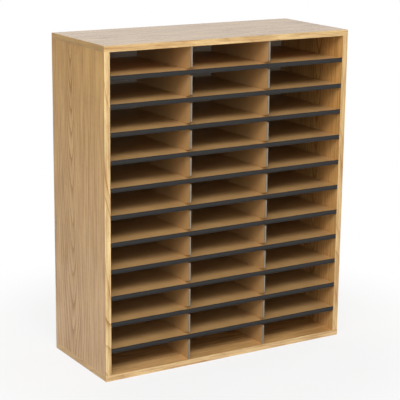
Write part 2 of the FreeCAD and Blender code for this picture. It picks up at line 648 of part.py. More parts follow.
def write(bodies):
    """Write one STEP file for each sub-part."""
    os.makedirs("parts", exist_ok=True)
    for body in bodies:
        body.Shape.exportStep(f"parts/{body.Label}.step")
        extent = body.Shape.BoundBox
        print(f"{body.Label:24s} solids {len(body.Shape.Solids):3d}  "
              f"x {extent.XMin:8.2f} {extent.XMax:8.2f}  y {extent.YMin:8.2f} {extent.YMax:8.2f}  "
              f"z {extent.ZMin:8.2f} {extent.ZMax:8.2f}")


write_sheet()
sub_parts = build()
check(sub_parts)
write(sub_parts)
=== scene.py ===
"""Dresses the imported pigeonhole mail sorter, and sets up its studio and camera.

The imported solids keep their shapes. This script gives every one of them the finish of the real material:
printed oak laminate, oak edge banding, sealed fibreboard, hardboard, extruded plastics, beech and steel.
"""

import logging
import math
from dataclasses import dataclass, field
from enum import Enum

import bmesh
import bpy
from mathutils import Matrix, Vector


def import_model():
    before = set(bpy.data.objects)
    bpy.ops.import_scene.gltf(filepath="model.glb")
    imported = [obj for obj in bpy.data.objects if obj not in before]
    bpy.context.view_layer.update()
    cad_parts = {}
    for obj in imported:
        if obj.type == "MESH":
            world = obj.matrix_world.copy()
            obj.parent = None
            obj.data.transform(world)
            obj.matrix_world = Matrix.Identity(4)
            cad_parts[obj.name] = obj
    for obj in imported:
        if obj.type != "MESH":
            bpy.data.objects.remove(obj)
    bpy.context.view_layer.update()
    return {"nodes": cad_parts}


LOG = logging.getLogger("mail_sorter")
MM = 0.001
WHITE = (1.0, 1.0, 1.0, 1.0)
# How squarely a surface has to face along an axis, from 0 to 1, to count as a face across that axis.
FACE_LEAN = 0.7
EDGE_SAMPLES = 4

Socket = bpy.types.NodeSocket
Value = Socket | float | tuple[float, ...]
Inputs = dict[int | str, Value]
Terms = list[tuple[Socket, float]]
Size = tuple[float, float, float]
Place = tuple[Socket, Socket, Socket]  # as a vector, across the grain and along it


def linear(code: str) -> tuple[float, float, float, float]:
    """Turns an sRGB hex colour into a linear one, by the curve of the sRGB standard.

    Args:
        code: six hex digits with a leading #.

    Returns:
        Red, green, blue and an alpha of 1.
    """
    levels = (int(code[place : place + 2], 16) / 255 for place in (1, 3, 5))
    red, green, blue = (
        level / 12.92 if level <= 0.04045 else ((level + 0.055) / 1.055) ** 2.4 for level in levels
    )
    return red, green, blue, 1.0


class Graph:
    """The node tree of one material or of the world, from its coordinates to its shader."""

    def __init__(self, name: str, world: bool = False) -> None:
        """Makes the material or the world, empty but for its output.

        Args:
            name: the material's or the world's name.
            world: makes a world.
        """
        self.owner = (bpy.data.worlds if world else bpy.data.materials).new(name)
        self.owner.use_nodes = True
        self.tree = self.owner.node_tree
        self.tree.nodes.clear()
        self.output = self.add("OutputWorld" if world else "OutputMaterial")

    def add(self, kind: str, inputs: Inputs | None = None, **settings: object) -> bpy.types.Node:
        """Adds a node with its settings, and links or sets its inputs.

        Args:
            kind: the node's type, without its ShaderNode prefix.
            inputs: for each input, the socket to link or the value to set.
            settings: the node's own properties.

        Returns:
            The new node.
        """
        node = self.tree.nodes.new("ShaderNode" + kind)
        for name, setting in settings.items():
            setattr(node, name, setting)
        for key, value in (inputs or {}).items():
            if isinstance(value, Socket):
                self.tree.links.new(value, node.inputs[key])
            else:
                node.inputs[key].default_value = value
        return node

    def millimetres(self) -> Socket:
        """Returns the piece's own coordinates, in millimetres."""
        place = self.add("TexCoord").outputs["Object"]
        return self.add("VectorMath", {0: place, "Scale": 1 / MM}, operation="SCALE").outputs[0]

    def leaning(self, axis: int) -> Socket:
        """Tells which way the surface faces along one axis.

        Args:
            axis: the axis, 0 to 2.

        Returns:
            1 where the surface faces along the axis, -1 where it faces the other way, and 0 across it.
        """
        return self.add("SeparateXYZ", {0: self.add("TexCoord").outputs["Normal"]}).outputs[axis]

    def facing(self, axis: int) -> Socket:
        """Tells a board's two faces from its edges.

        Args:
            axis: the axis through the board's thickness, 0 to 2.

        Returns:
            1 on the faces, and 0 on the edges and in holes.
        """
        lean = self.add("Math", {0: self.leaning(axis)}, operation="ABSOLUTE").outputs[0]
        return self.add("Math", {0: lean, 1: FACE_LEAN}, operation="GREATER_THAN").outputs[0]

    def total(self, terms: Terms, start: float = 0.0) -> Socket:
        """Adds up sockets, each with its own weight.

        Args:
            terms: socket and weight pairs.
            start: what the sum starts from.

        Returns:
            The sum.
        """
        result: Value = start
        for socket, weight in terms:
            inputs: Inputs = {0: socket, 1: weight, 2: result}
            result = self.add("Math", inputs, operation="MULTIPLY_ADD").outputs[0]
        return result

    def tone(self, terms: Terms) -> Socket:
        """Joins several mottlings into one tone.

        Args:
            terms: mottling and weight pairs.

        Returns:
            A value from 0 to 1, about 0.5 on average.
        """
        start = 0.5 - sum(weight for _, weight in terms) / 2
        return self.add("Clamp", {0: self.total(terms, start)}).outputs[0]

    def seen(self) -> Socket:
        """Tells rays that the eye follows, straight, by gloss or through glass, from rays that light things.

        Returns:
            1 for a ray that is seen, and 0 for one that lights.
        """
        path = self.add("LightPath").outputs
        through: Inputs = {0: path["Is Glossy Ray"], 1: path["Is Transmission Ray"]}
        gloss = self.add("Math", through, operation="MAXIMUM").outputs[0]
        return self.add("Math", {0: path["Is Camera Ray"], 1: gloss}, operation="MAXIMUM").outputs[0]

    def finish(
        self,
        colour: Value,
        roughness: Value,
        height: Socket | None = None,
        height_mm: float = 0.0,
        rounding_mm: float = 0.0,
        **constants: float,
    ) -> bpy.types.Material:
        """Ends the graph in a Principled shader.

        Args:
            colour: the base colour.
            roughness: the roughness.
            height: relief from 0 to 1, if the surface has any.
            height_mm: what a height of 1 stands for, in millimetres.
            rounding_mm: how far the shading rounds the solid's edges, in millimetres.
            constants: further inputs of the shader, by name with underscores for spaces.

        Returns:
            The finished material.
        """
        inputs: Inputs = {"Base Color": colour, "Roughness": roughness}
        inputs |= {name.replace("_", " "): value for name, value in constants.items()}
        shader = self.add("BsdfPrincipled", inputs)
        normal = None
        if rounding_mm:
            normal = self.add("Bevel", {"Radius": rounding_mm * MM}, samples=EDGE_SAMPLES).outputs[0]
        if height is not None:
            relief: Inputs = {"Strength": 1.0, "Distance": height_mm * MM, "Height": height}
            if normal is not None:
                relief["Normal"] = normal
            normal = self.add("Bump", relief).outputs[0]
        if normal is not None:
            self.tree.links.new(normal, shader.inputs["Normal"])
        self.tree.links.new(shader.outputs[0], self.output.inputs["Surface"])
        return self.owner


@dataclass(frozen=True)
class Mottle:
    """Soft mottling whose blotches have a real size.

    Attributes:
        size_mm: a blotch's size along each coordinate.
        layers: how many finer layers lie on it.
    """

    size_mm: Size
    layers: float = 1.0

    def draw(self, graph: Graph, place: Socket) -> Socket:
        """Draws the mottling.

        Args:
            graph: the material's graph.
            place: coordinates in millimetres.

        Returns:
            A value from 0 to 1, about 0.5 on average.
        """
        steps = tuple(1 / size for size in self.size_mm)
        scaled = graph.add("VectorMath", {0: place, 1: steps}, operation="MULTIPLY").outputs[0]
        return graph.add("TexNoise", {"Vector": scaled, "Scale": 1.0, "Detail": self.layers}).outputs[0]


@dataclass(frozen=True)
class Tones:
    """A finish's ground colour, and the colour of the marks on it.

    Attributes:
        ground: the ground colour.
        mark: what grain, shade or wear turns it to.
    """

    ground: str
    mark: str

    def blend(self, graph: Graph, share: Socket) -> Socket:
        """Blends the two colours.

        Args:
            graph: the material's graph.
            share: how strong the marks are, from 0 to 1.

        Returns:
            The blended colour.
        """
        ends: Inputs = {0: share, 6: linear(self.ground), 7: linear(self.mark)}
        return graph.add("Mix", ends, data_type="RGBA").outputs[2]


class Lay(Enum):
    """How a piece lies: the axes across its grain, along its grain and through its thickness."""

    SIDE_PANEL = (1, 2, 0)
    LEVEL_PANEL = (1, 0, 2)
    UPRIGHT_BAND = (0, 2, 1)
    LEVEL_BAND = (2, 0, 1)
    END_BAND = (2, 1, 0)

    def place(self, graph: Graph) -> Place:
        """Turns a piece's coordinates to its grain.

        Args:
            graph: the material's graph.

        Returns:
            The place as a vector (across, along, through), the part across and the part along.
        """
        parts = graph.add("SeparateXYZ", {0: graph.millimetres()}).outputs
        across, along, through = (parts[axis] for axis in self.value)
        vector = graph.add("CombineXYZ", {0: across, 1: along, 2: through}).outputs[0]
        return vector, across, along


@dataclass(frozen=True)
class OakFigure:
    """The figure of flat-sawn oak: nested cathedral arches along a heart, and straight grain beside it.

    A growth ring is a cone with its axis below the face, so a flat cut shows each ring as an arch.

    Attributes:
        heart_mm: where the heart runs, across the grain.
        ring_mm: from one growth ring to the next.
        taper: how fast the rings' cone narrows along the grain.
        heart_depth_mm: how deep the cone's axis lies below the face.
        lean: how much closer the rings stand beyond the heart than before it, below 0 where wider.
        point: how pointed the arches are.
        wander_mm: how far the heart wanders to either side.
        slip_mm: how far the arches slip along the grain.
        fray_mm: how far their lines fray along the grain.
        sharpness: how soon a ring's dark line fades out.
        chance: how much of a line's strength is left to chance, ring by ring.
        far_line: how much of a line's strength is left far from the heart.
        ground_dark: how dark the wood is where nothing darkens it, on average.
        line_dark: how much the lines darken the wood.
        band_dark: how much the bands do.
        streak_dark: how much the streaks do.
        cloud_dark: how much the clouds do.
        pore_dark: how much the pores do.
        line_pores: how much likelier pores are in a line.
        pore_from: where the speckle starts to be a pore.
        pore_to: where it is one throughout.
    """

    heart_mm: float
    ring_mm: float = 18.0
    taper: float = 0.24
    heart_depth_mm: float = 60.0
    lean: float = -0.12
    point: float = 0.2
    wander_mm: float = 7.0
    slip_mm: float = 70.0
    fray_mm: float = 9.0
    sharpness: float = 4.0
    chance: float = 0.6
    far_line: float = 0.15
    ground_dark: float = 0.25
    line_dark: float = 1.2
    band_dark: float = 0.75
    streak_dark: float = 0.6
    cloud_dark: float = 0.3
    pore_dark: float = 0.22
    line_pores: float = 0.12
    pore_from: float = 0.56
    pore_to: float = 0.70
    wander: Mottle = Mottle((150.0, 260.0, 150.0))
    slip: Mottle = Mottle((80.0, 300.0, 80.0))
    bands: Mottle = Mottle((9.0, 130.0, 9.0), 2.0)
    clouds: Mottle = Mottle((34.0, 140.0, 34.0))
    # Pores and fibres are well under a millimetre wide in oak. They are drawn 1.2 to 2.6 mm wide so that they
    # show at the size of a render.
    fray: Mottle = Mottle((1.8, 26.0, 1.8))
    streaks: Mottle = Mottle((2.6, 100.0, 2.6), 3.0)
    specks: Mottle = Mottle((1.2, 17.0, 1.2))

    def turns(self, graph: Graph, place: Place) -> tuple[Socket, Socket]:
        """Counts the growth rings from the heart outwards.

        Args:
            graph: the material's graph.
            place: the place, turned to the grain.

        Returns:
            The ring at the place, in whole numbers and parts, and how near the heart is, up to 1.
        """
        vector, across, along = place
        wander = self.wander.draw(graph, vector)
        off = graph.total([(across, 1.0), (wander, 2 * self.wander_mm)], -self.heart_mm - self.wander_mm)
        side = graph.add("Math", {0: off}, operation="ABSOLUTE").outputs[0]
        leaning = graph.total([(off, 1.0), (side, self.lean)])
        corner = graph.add("CombineXYZ", {0: leaning, 1: self.heart_depth_mm}).outputs[0]
        radius = graph.add("VectorMath", {0: corner}, operation="LENGTH").outputs["Value"]
        slant = graph.add("Math", {0: self.heart_depth_mm, 1: radius}, operation="DIVIDE").outputs[0]
        near = graph.add("Math", {0: slant, 1: 2.0}, operation="POWER").outputs[0]
        slip = self.slip.draw(graph, vector)
        fray = self.fray.draw(graph, vector)
        shifts = [(slip, 2 * self.slip_mm * self.taper), (fray, 2 * self.fray_mm * self.taper)]
        climb = graph.total([(along, self.taper), *shifts])
        arch = graph.add("Math", {0: climb, 1: near}, operation="MULTIPLY").outputs[0]
        step = 1 / self.ring_mm
        return graph.total([(radius, step), (side, self.point * step), (arch, -step)]), near

    def lines(self, graph: Graph, place: Place) -> Socket:
        """Draws each growth ring's dark line.

        Args:
            graph: the material's graph.
            place: the place, turned to the grain.

        Returns:
            How strong the line is, from 0 to 1.
        """
        turns, near = self.turns(graph, place)
        ring = graph.add("Math", {0: turns}, operation="FLOOR").outputs[0]
        late = graph.add("Math", {0: turns}, operation="FRACT").outputs[0]
        early = graph.add("Math", {0: 1.0, 1: late}, operation="SUBTRACT").outputs[0]
        line = graph.add("Math", {0: early, 1: self.sharpness}, operation="POWER").outputs[0]
        chance = graph.add("TexWhiteNoise", {"W": ring}, noise_dimensions="1D").outputs[0]
        fade = graph.total([(near, 1.0 - self.far_line)], self.far_line)
        strength = graph.total([(chance, self.chance)], 1.0 - self.chance)
        faded = graph.add("Math", {0: line, 1: fade}, operation="MULTIPLY").outputs[0]
        return graph.add("Math", {0: faded, 1: strength}, operation="MULTIPLY").outputs[0]

    def shade(self, graph: Graph, place: Place) -> tuple[Socket, Socket]:
        """Draws the whole figure.

        Args:
            graph: the material's graph.
            place: the place, turned to the grain.

        Returns:
            How dark the wood is, from 0 to 1, and where its pores are.
        """
        line = self.lines(graph, place)
        streak, band, cloud, speck = (
            mottle.draw(graph, place[0]) for mottle in (self.streaks, self.bands, self.clouds, self.specks)
        )
        likely = graph.total([(speck, 1.0), (line, self.line_pores)])
        limits: Inputs = {0: likely, 1: self.pore_from, 2: self.pore_to}
        pore = graph.add("MapRange", limits, interpolation_type="SMOOTHSTEP").outputs[0]
        # A mottling is 0.5 on average, so twice its weight less its weight leaves the ground as it is.
        dark = graph.total(
            [
                (line, self.line_dark),
                (band, 2 * self.band_dark),
                (streak, 2 * self.streak_dark),
                (cloud, 2 * self.cloud_dark),
                (pore, self.pore_dark),
            ],
            self.ground_dark - self.band_dark - self.streak_dark - self.cloud_dark,
        )
        return graph.add("Clamp", {0: dark}).outputs[0], pore


@dataclass(frozen=True)
class OakLaminate:
    """Printed oak laminate, pressed on both faces of particle board.

    To the eye: a tan oak print under a hard satin skin, and pale chips where an edge is bare.
    Along the board the print is mixed from paler, greyer tones to more saturated honey ones: painted sheen,
    standing in for a white reflection that weakens along the board.
    """

    name: str
    lay: Lay
    figure: OakFigure
    tan: Tones
    honey: Tones
    # Painted sheen: between these two places along the board, in millimetres, the print turns from its paler
    # tones to its honey ones, in place of a white reflection that weakens that way.
    painted_sheen_fade_from_mm: float
    painted_sheen_fade_to_mm: float
    core: Tones = Tones("#C7A476", "#8E6B45")
    chip_mm: Size = (2.857, 2.857, 1.25)
    roughness: float = 0.3
    core_roughness: float = 0.85
    pore_roughness: float = 0.08
    pore_depth_mm: float = 0.02
    rounding_mm: float = 0.3
    index: float = 1.36

    def build(self) -> bpy.types.Material:
        """Builds the material.

        Returns:
            The finished material.
        """
        graph = Graph(self.name)
        place = self.lay.place(graph)
        dark, pore = self.figure.shade(graph, place)
        # Painted sheen: the print is mixed along the board from its paler tones to its more saturated honey
        # tones, standing in for a reflection that weakens along it.
        painted_sheen_range: Inputs = {0: place[2], 1: self.painted_sheen_fade_from_mm, 2: self.painted_sheen_fade_to_mm}
        share = graph.add("MapRange", painted_sheen_range).outputs[0]
        ends: Inputs = {0: share, 6: self.tan.blend(graph, dark), 7: self.honey.blend(graph, dark)}
        printed = graph.add("Mix", ends, data_type="RGBA").outputs[2]
        skin = graph.facing(self.lay.value[2])
        layers: Inputs = {0: skin, 6: self.core.blend(graph, self.chips(graph)), 7: printed}
        colour = graph.add("Mix", layers, data_type="RGBA").outputs[2]
        smoother = self.roughness - self.core_roughness
        roughness = graph.total([(skin, smoother), (pore, self.pore_roughness)], self.core_roughness)
        relief = graph.total([(pore, -1.0)], 1.0)
        return graph.finish(
            colour, roughness, relief, self.pore_depth_mm, rounding_mm=self.rounding_mm, IOR=self.index
        )

    def chips(self, graph: Graph) -> Socket:
        """Draws the bare core: pressed wood chips about 3 mm long.

        Args:
            graph: the material's graph.

        Returns:
            Each chip's shade, from 0 to 1.
        """
        steps = tuple(1 / size for size in self.chip_mm)
        flakes = graph.add("VectorMath", {0: graph.millimetres(), 1: steps}, operation="MULTIPLY").outputs[0]
        cell = graph.add("TexVoronoi", {"Vector": flakes, "Scale": 1.0}).outputs["Color"]
        return graph.add("SeparateXYZ", {0: cell}).outputs[0]


@dataclass(frozen=True)
class OakBanding:
    """Light oak edge banding, a thin strip ironed on the boards' edges.

    To the eye: yellower and lighter than the panels, with the figure sliced into long slanting marks.
    """

    name: str
    lay: Lay
    figure: OakFigure
    tones: Tones
    roughness: float = 0.4
    pore_roughness: float = 0.1
    pore_depth_mm: float = 0.02
    index: float = 1.5

    def build(self) -> bpy.types.Material:
        """Builds the material.

        Returns:
            The finished material.
        """
        graph = Graph(self.name)
        dark, pore = self.figure.shade(graph, self.lay.place(graph))
        roughness = graph.total([(pore, self.pore_roughness)], self.roughness)
        relief = graph.total([(pore, -1.0)], 1.0)
        colour = self.tones.blend(graph, dark)
        return graph.finish(colour, roughness, relief, self.pore_depth_mm, IOR=self.index)


@dataclass(frozen=True)
class Fibreboard:
    """Medium-density fibreboard with a sealed face.

    To the eye: an even honey brown with faint felted fibres, matt, and a little darker and rougher at cut
    edges. A shelf's underside is unsealed: duller and greyer.
    """

    name: str
    through: int
    tones: Tones = Tones("#D7AE76", "#BB905B")
    edge: str = "#8F6A42"
    under: str = "#8E7F66"
    # The fibres are 2 to 4 mm long.
    felt: Mottle = Mottle((3.2, 3.2, 3.2), 4.0)
    blotches: Mottle = Mottle((55.0, 55.0, 55.0), 2.0)
    felt_weight: float = 0.7
    blotch_weight: float = 0.8
    roughness: float = 0.45
    edge_roughness: float = 0.8
    felt_roughness: float = 0.1
    felt_depth_mm: float = 0.02
    rounding_mm: float = 0.3
    index: float = 1.48

    def build(self) -> bpy.types.Material:
        """Builds the material.

        Returns:
            The finished material.
        """
        graph = Graph(self.name)
        place = graph.millimetres()
        felt = self.felt.draw(graph, place)
        blotch = self.blotches.draw(graph, place)
        tone = graph.tone([(felt, self.felt_weight), (blotch, self.blotch_weight)])
        faces = graph.facing(self.through)
        sealed: Inputs = {0: faces, 6: linear(self.edge), 7: self.tones.blend(graph, tone)}
        sheet = graph.add("Mix", sealed, data_type="RGBA").outputs[2]
        down = graph.add("Math", {0: graph.leaning(2), 1: -FACE_LEAN}, operation="LESS_THAN").outputs[0]
        colour = graph.add("Mix", {0: down, 6: sheet, 7: linear(self.under)}, data_type="RGBA").outputs[2]
        smoother = self.roughness - self.edge_roughness
        roughness = graph.total([(faces, smoother), (felt, self.felt_roughness)], self.edge_roughness)
        return graph.finish(
            colour, roughness, felt, self.felt_depth_mm, rounding_mm=self.rounding_mm, IOR=self.index
        )


@dataclass(frozen=True)
class Hardboard:
    """Wet-process hardboard: one smooth painted face, and one marked by the wire screen it was pressed on.

    To the eye: a dull grey beige inside the compartments, and at the rear raw dark brown with long felted
    fibres and a fine woven relief. The grey beige is partly paint and partly painted light: it is made much
    paler so that the far back of the compartments, which little light reaches, looks lit.
    """

    name: str
    # Partly painted light: these inner-face tones are made much paler, so that the back of the compartments,
    # which little light reaches, looks lit.
    painted: Tones = Tones("#DDD8CE", "#C4BDB1")
    raw: Tones = Tones("#80634A", "#5B4433")
    # Bundles of fibres are up to 9 mm long.
    felt: Mottle = Mottle((9.0, 9.0, 4.0), 4.0)
    clouds: Mottle = Mottle((90.0, 90.0, 90.0), 2.0)
    felt_weight: float = 1.1
    cloud_weight: float = 0.6
    # The screen's wires are about 1.3 mm apart. The weave is drawn at 3 mm so that it shows.
    screen_mm: float = 3.0
    screen_relief: float = 0.5
    felt_relief: float = 0.3
    relief_mm: float = 0.25
    rear_lean: float = 0.5
    painted_roughness: float = 0.45
    raw_roughness: float = 0.7
    felt_roughness: float = 0.1
    index: float = 1.5

    def build(self) -> bpy.types.Material:
        """Builds the material.

        Returns:
            The finished material.
        """
        graph = Graph(self.name)
        place = graph.millimetres()
        felt = self.felt.draw(graph, place)
        cloud = self.clouds.draw(graph, place)
        tone = graph.tone([(felt, self.felt_weight), (cloud, self.cloud_weight)])
        limits: Inputs = {0: graph.leaning(1), 1: self.rear_lean}
        rear = graph.add("Math", limits, operation="GREATER_THAN").outputs[0]
        sides: Inputs = {0: rear, 6: self.painted.blend(graph, tone), 7: self.raw.blend(graph, tone)}
        colour = graph.add("Mix", sides, data_type="RGBA").outputs[2]
        weave = self.weave(graph, place)
        pressed = graph.add("Math", {0: weave, 1: rear}, operation="MULTIPLY").outputs[0]
        relief = graph.total([(pressed, self.screen_relief), (felt, self.felt_relief)])
        rougher = self.raw_roughness - self.painted_roughness
        roughness = graph.total([(rear, rougher), (felt, self.felt_roughness)], self.painted_roughness)
        return graph.finish(colour, roughness, relief, self.relief_mm, IOR=self.index)

    def weave(self, graph: Graph, place: Socket) -> Socket:
        """Draws the screen's mark, across the sheet and up it.

        Args:
            graph: the material's graph.
            place: coordinates in millimetres.

        Returns:
            A height from -1 to 1.
        """
        turn = 2 * math.pi / self.screen_mm
        wires = graph.add("VectorMath", {0: place, "Scale": turn}, operation="SCALE").outputs[0]
        waves = graph.add("VectorMath", {0: wires}, operation="SINE").outputs[0]
        wave = graph.add("SeparateXYZ", {0: waves}).outputs
        return graph.add("Math", {0: wave[0], 1: wave[2]}, operation="MULTIPLY").outputs[0]


@dataclass(frozen=True)
class ExtrudedPlastic:
    """Plastic drawn through a die, such as PVC moulding or channel.

    To the eye: one colour with a satin sheen, broken by faint straight die lines along it and by dust.
    """

    name: str
    tones: Tones
    along: int
    # Die lines are about 0.2 mm apart. They are drawn at 1.1 mm so that they show.
    line_mm: float = 1.1
    line_run_mm: float = 420.0
    line_layers: float = 2.0
    dust: Mottle = Mottle((14.0, 14.0, 14.0), 4.0)
    dust_from: float = 0.45
    dust_to: float = 0.85
    line_weight: float = 0.25
    dust_weight: float = 0.5
    roughness: float = 0.32
    line_roughness: float = 0.12
    dust_roughness: float = 0.2
    line_depth_mm: float = 0.03
    index: float = 1.5

    def build(self) -> bpy.types.Material:
        """Builds the material.

        Returns:
            The finished material.
        """
        graph = Graph(self.name)
        place = graph.millimetres()
        size = tuple(self.line_run_mm if axis == self.along else self.line_mm for axis in range(3))
        lines = Mottle(size, self.line_layers).draw(graph, place)
        limits: Inputs = {0: self.dust.draw(graph, place), 1: self.dust_from, 2: self.dust_to}
        dust = graph.add("MapRange", limits).outputs[0]
        share = graph.total([(dust, self.dust_weight), (lines, self.line_weight)])
        colour = self.tones.blend(graph, share)
        roughness = graph.total([(lines, self.line_roughness), (dust, self.dust_roughness)], self.roughness)
        return graph.finish(colour, roughness, lines, self.line_depth_mm, IOR=self.index)


@dataclass(frozen=True)
class MouldedPlastic:
    """Injection-moulded polypropylene.

    To the eye: a fine even spark-eroded grain and a low sheen.
    """

    name: str
    tones: Tones
    # The real grain is about 0.1 mm. It is drawn at 0.6 mm so that it shows.
    grain: Mottle = Mottle((0.6, 0.6, 0.6), 3.0)
    roughness: float = 0.4
    grain_roughness: float = 0.2
    grain_depth_mm: float = 0.03
    rounding_mm: float = 0.3
    index: float = 1.49

    def build(self) -> bpy.types.Material:
        """Builds the material.

        Returns:
            The finished material.
        """
        graph = Graph(self.name)
        grain = self.grain.draw(graph, graph.millimetres())
        colour = self.tones.blend(graph, grain)
        roughness = graph.total([(grain, self.grain_roughness)], self.roughness)
        return graph.finish(
            colour, roughness, grain, self.grain_depth_mm, rounding_mm=self.rounding_mm, IOR=self.index
        )


@dataclass(frozen=True)
class TurnedBeech:
    """Beech rod, planed round.

    To the eye: pale pinkish wood with short darker flecks along the rod.
    """

    name: str
    tones: Tones = Tones("#E2BE94", "#B98B60")
    # The real flecks are 0.2 mm wide. They are drawn at 0.7 mm so that they show.
    flecks: Mottle = Mottle((0.7, 0.7, 5.0), 3.0)
    roughness: float = 0.55
    fleck_roughness: float = 0.2
    fleck_depth_mm: float = 0.03

    def build(self) -> bpy.types.Material:
        """Builds the material.

        Returns:
            The finished material.
        """
        graph = Graph(self.name)
        fleck = self.flecks.draw(graph, graph.millimetres())
        colour = self.tones.blend(graph, fleck)
        roughness = graph.total([(fleck, self.fleck_roughness)], self.roughness)
        return graph.finish(colour, roughness, fleck, self.fleck_depth_mm)


@dataclass(frozen=True)
class NailSteel:
    """Bright drawn wire, with a stamped head.

    To the eye: grey metal with a dull bloom.
    """

    name: str
    tones: Tones = Tones("#B9B8B4", "#7C7A76")
    bloom: Mottle = Mottle((1.5, 1.5, 1.5), 4.0)
    roughness: float = 0.2
    bloom_roughness: float = 0.35
    bloom_depth_mm: float = 0.02

    def build(self) -> bpy.types.Material:
        """Builds the material.

        Returns:
            The finished material.
        """
        graph = Graph(self.name)
        bloom = self.bloom.draw(graph, graph.millimetres())
        colour = self.tones.blend(graph, bloom)
        roughness = graph.total([(bloom, self.bloom_roughness)], self.roughness)
        return graph.finish(colour, roughness, bloom, self.bloom_depth_mm, Metallic=1.0)


@dataclass
class SubAssembly:
    """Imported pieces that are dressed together."""

    nodes: dict[str, bpy.types.Object]

    def dress(self, names: list[str], material: bpy.types.Material) -> None:
        """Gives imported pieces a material.

        Args:
            names: the pieces' node names.
            material: what they are made of.
        """
        for name in names:
            piece = self.nodes[name]
            for slot in piece.material_slots:
                slot.material = material
            LOG.info("%s: %s, %d faces", name, material.name, len(piece.data.polygons))


@dataclass(frozen=True)
class Strip:
    """One strip of edge banding.

    Attributes:
        node: the piece's node name.
        lay: how it lies.
        middle_mm: where its middle is, across the grain.
        line_dark: how dark the marks on it are.
        tones: its colours.
    """

    node: str
    lay: Lay
    middle_mm: float
    line_dark: float
    tones: Tones


@dataclass
class Casing(SubAssembly):
    """The four boards with their banding, the back panel and the hidden fastenings."""

    left_heart_mm: float = 39.0
    right_heart_mm: float = -40.0
    level_heart_mm: float = -20.0
    band_heart_mm: float = 150.0
    strips: tuple[Strip, ...] = (
        # Painted shade: the two front bands are one banding, and the right one has darker tones than the left
        # one, for light that falls off from left to right.
        Strip("left_front_band", Lay.UPRIGHT_BAND, -365.0, 1.4, Tones("#F1D298", "#A9763F")),
        Strip("right_front_band", Lay.UPRIGHT_BAND, 365.0, 0.9, Tones("#E5C187", "#A9763F")),
        Strip("top_front_band", Lay.LEVEL_BAND, 868.0, 0.4, Tones("#EECC91", "#A9763F")),
        Strip("bottom_front_band", Lay.LEVEL_BAND, 8.0, 0.4, Tones("#EECC95", "#AE7A42")),
        Strip("top_left_end_band", Lay.END_BAND, 868.0, 0.5, Tones("#AD8744", "#85602C")),
        Strip("top_right_end_band", Lay.END_BAND, 868.0, 0.5, Tones("#AD8744", "#85602C")),
        Strip("bottom_left_end_band", Lay.END_BAND, 8.0, 0.7, Tones("#CAA974", "#94693A")),
        Strip("bottom_right_end_band", Lay.END_BAND, 8.0, 0.7, Tones("#CAA974", "#94693A")),
    )

    def build(self) -> None:
        """Dresses the boards, the banding, the back panel and the fastenings."""
        for node, laminate in (self.side_laminates() | self.level_laminates()).items():
            self.dress([node], laminate.build())
        self.dress_strips()
        self.dress(["back_panel"], Hardboard("hardboard_screen_back").build())
        self.dress(["back_panel_nails"], NailSteel("bright_nail_steel").build())
        self.dress(["corner_dowels"], TurnedBeech("planed_beech_rod").build())
        supports = MouldedPlastic("moulded_brown_polypropylene", Tones("#6B4A30", "#553A25"))
        self.dress(["left_shelf_supports", "right_shelf_supports"], supports.build())

    def side_laminates(self) -> dict[str, OakLaminate]:
        """Chooses the side panels' laminate: arches up the middle, and painted sheen that fades towards the
        top, leaving the print honey-coloured there.

        Returns:
            The laminate for each panel's node name.
        """
        left = OakFigure(self.left_heart_mm, sharpness=3.5, line_dark=1.65, band_dark=0.6, streak_dark=0.65)
        right = OakFigure(self.right_heart_mm, line_dark=1.4, band_dark=0.45, streak_dark=0.45)
        return {
            "left_side_panel": OakLaminate(
                "oak_laminate_left",
                Lay.SIDE_PANEL,
                left,
                tan=Tones("#CDA97F", "#9E7744"),
                honey=Tones("#BE9552", "#905F10"),
                painted_sheen_fade_from_mm=100.0,
                painted_sheen_fade_to_mm=800.0,
            ),
            "right_side_panel": OakLaminate(
                "oak_laminate_right",
                Lay.SIDE_PANEL,
                right,
                tan=Tones("#CFA369", "#9A6C37"),
                honey=Tones("#D9A866", "#946327"),
                painted_sheen_fade_from_mm=100.0,
                painted_sheen_fade_to_mm=800.0,
            ),
        }

    def level_laminates(self) -> dict[str, OakLaminate]:
        """Chooses the top and bottom panels' laminate: straighter and quieter, and glossier on the top. Along
        both, painted sheen fades from left to right, and the bottom panel's tones are lighter than the top's:
        painted light.

        Returns:
            The laminate for each panel's node name.
        """
        quiet = OakFigure(self.level_heart_mm, taper=0.14, line_dark=0.8)
        return {
            "top_panel": OakLaminate(
                "oak_laminate_top",
                Lay.LEVEL_PANEL,
                quiet,
                tan=Tones("#D1AE80", "#917049"),
                honey=Tones("#C49B60", "#825F33"),
                painted_sheen_fade_from_mm=-300.0,
                painted_sheen_fade_to_mm=700.0,
                roughness=0.25,
                index=1.5,
            ),
            "bottom_panel": OakLaminate(
                "oak_laminate_bottom",
                Lay.LEVEL_PANEL,
                quiet,
                # Painted light: tones lighter than the top panel's, for more light on the inside of the
                # bottom board than the lamps give.
                tan=Tones("#F0C183", "#B5854D"),
                honey=Tones("#E6B06A", "#A06F36"),
                painted_sheen_fade_from_mm=-300.0,
                painted_sheen_fade_to_mm=900.0,
            ),
        }

    def dress_strips(self) -> None:
        """Dresses the banding, each strip cut from far beside the heart so that its marks slant."""
        for strip in self.strips:
            sliced = OakFigure(
                strip.middle_mm + self.band_heart_mm,
                ring_mm=26.0,
                taper=0.4,
                heart_depth_mm=200.0,
                lean=0.0,
                point=0.0,
                slip_mm=170.0,
                fray_mm=3.0,
                sharpness=6.0,
                chance=0.9,
                line_dark=strip.line_dark,
            )
            banding = OakBanding(strip.node.replace("band", "banding"), strip.lay, sliced, strip.tones)
            self.dress([strip.node], banding.build())


